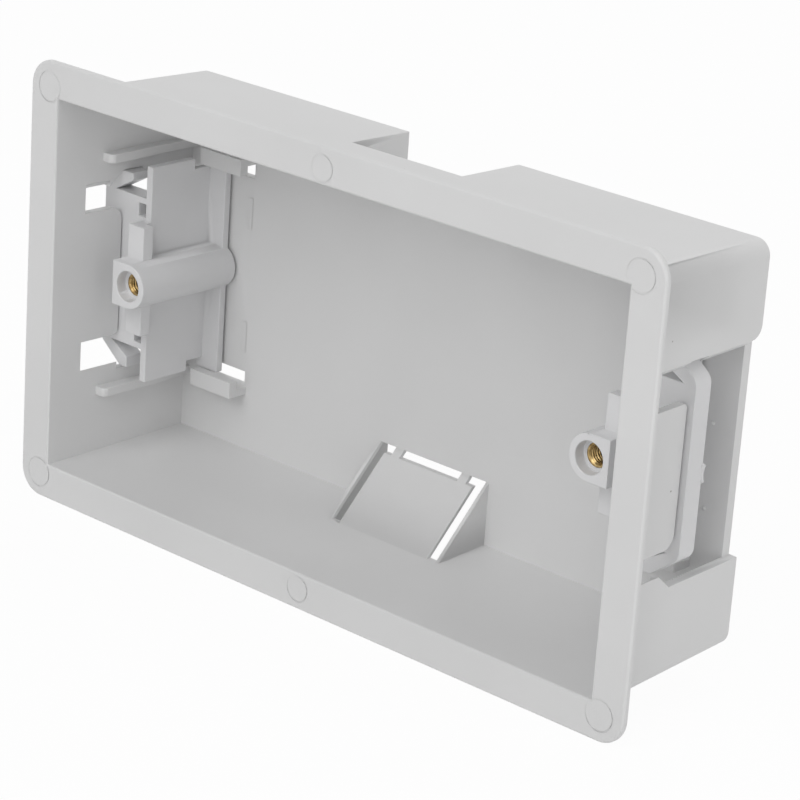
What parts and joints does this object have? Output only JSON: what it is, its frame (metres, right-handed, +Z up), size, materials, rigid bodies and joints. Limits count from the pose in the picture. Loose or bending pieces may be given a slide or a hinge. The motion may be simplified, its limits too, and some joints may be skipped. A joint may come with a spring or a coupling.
{
  "type": "drywall back box",
  "caption": "Flanged rectangular plastic box for a hole in plasterboard, with sliding end lugs that carry threaded inserts for a faceplate's screws, and knock-out cable entries.",
  "frame": {"origin": "middle of the flange's rear face, which lies on the wall", "axes": "+X along the width, +Y into the wall, +Z up"},
  "size_m": [0.144, 0.0355, 0.083],
  "materials": {
    "body_plastic": "satin moulded, pale grey-white",
    "lug_plastic": "satin moulded, cool white",
    "insert_brass": "turned, bright"
  },
  "bodies": {
    "box": {"box_body": "body_plastic"},
    "left_slider": {"left_lug": "lug_plastic", "left_insert": "insert_brass"},
    "right_slider": {"right_lug": "lug_plastic", "right_insert": "insert_brass"}
  },
  "joints": [
    {"name": "left_slide", "type": "slide", "parent": "box", "child": "left_slider", "axis": [-1, 0, 0], "range_m": [-0.0033, 0.0051]},
    {"name": "right_slide", "type": "slide", "parent": "box", "child": "right_slider", "axis": [1, 0, 0], "range_m": [-0.0012, 0.0072]}
  ]
}
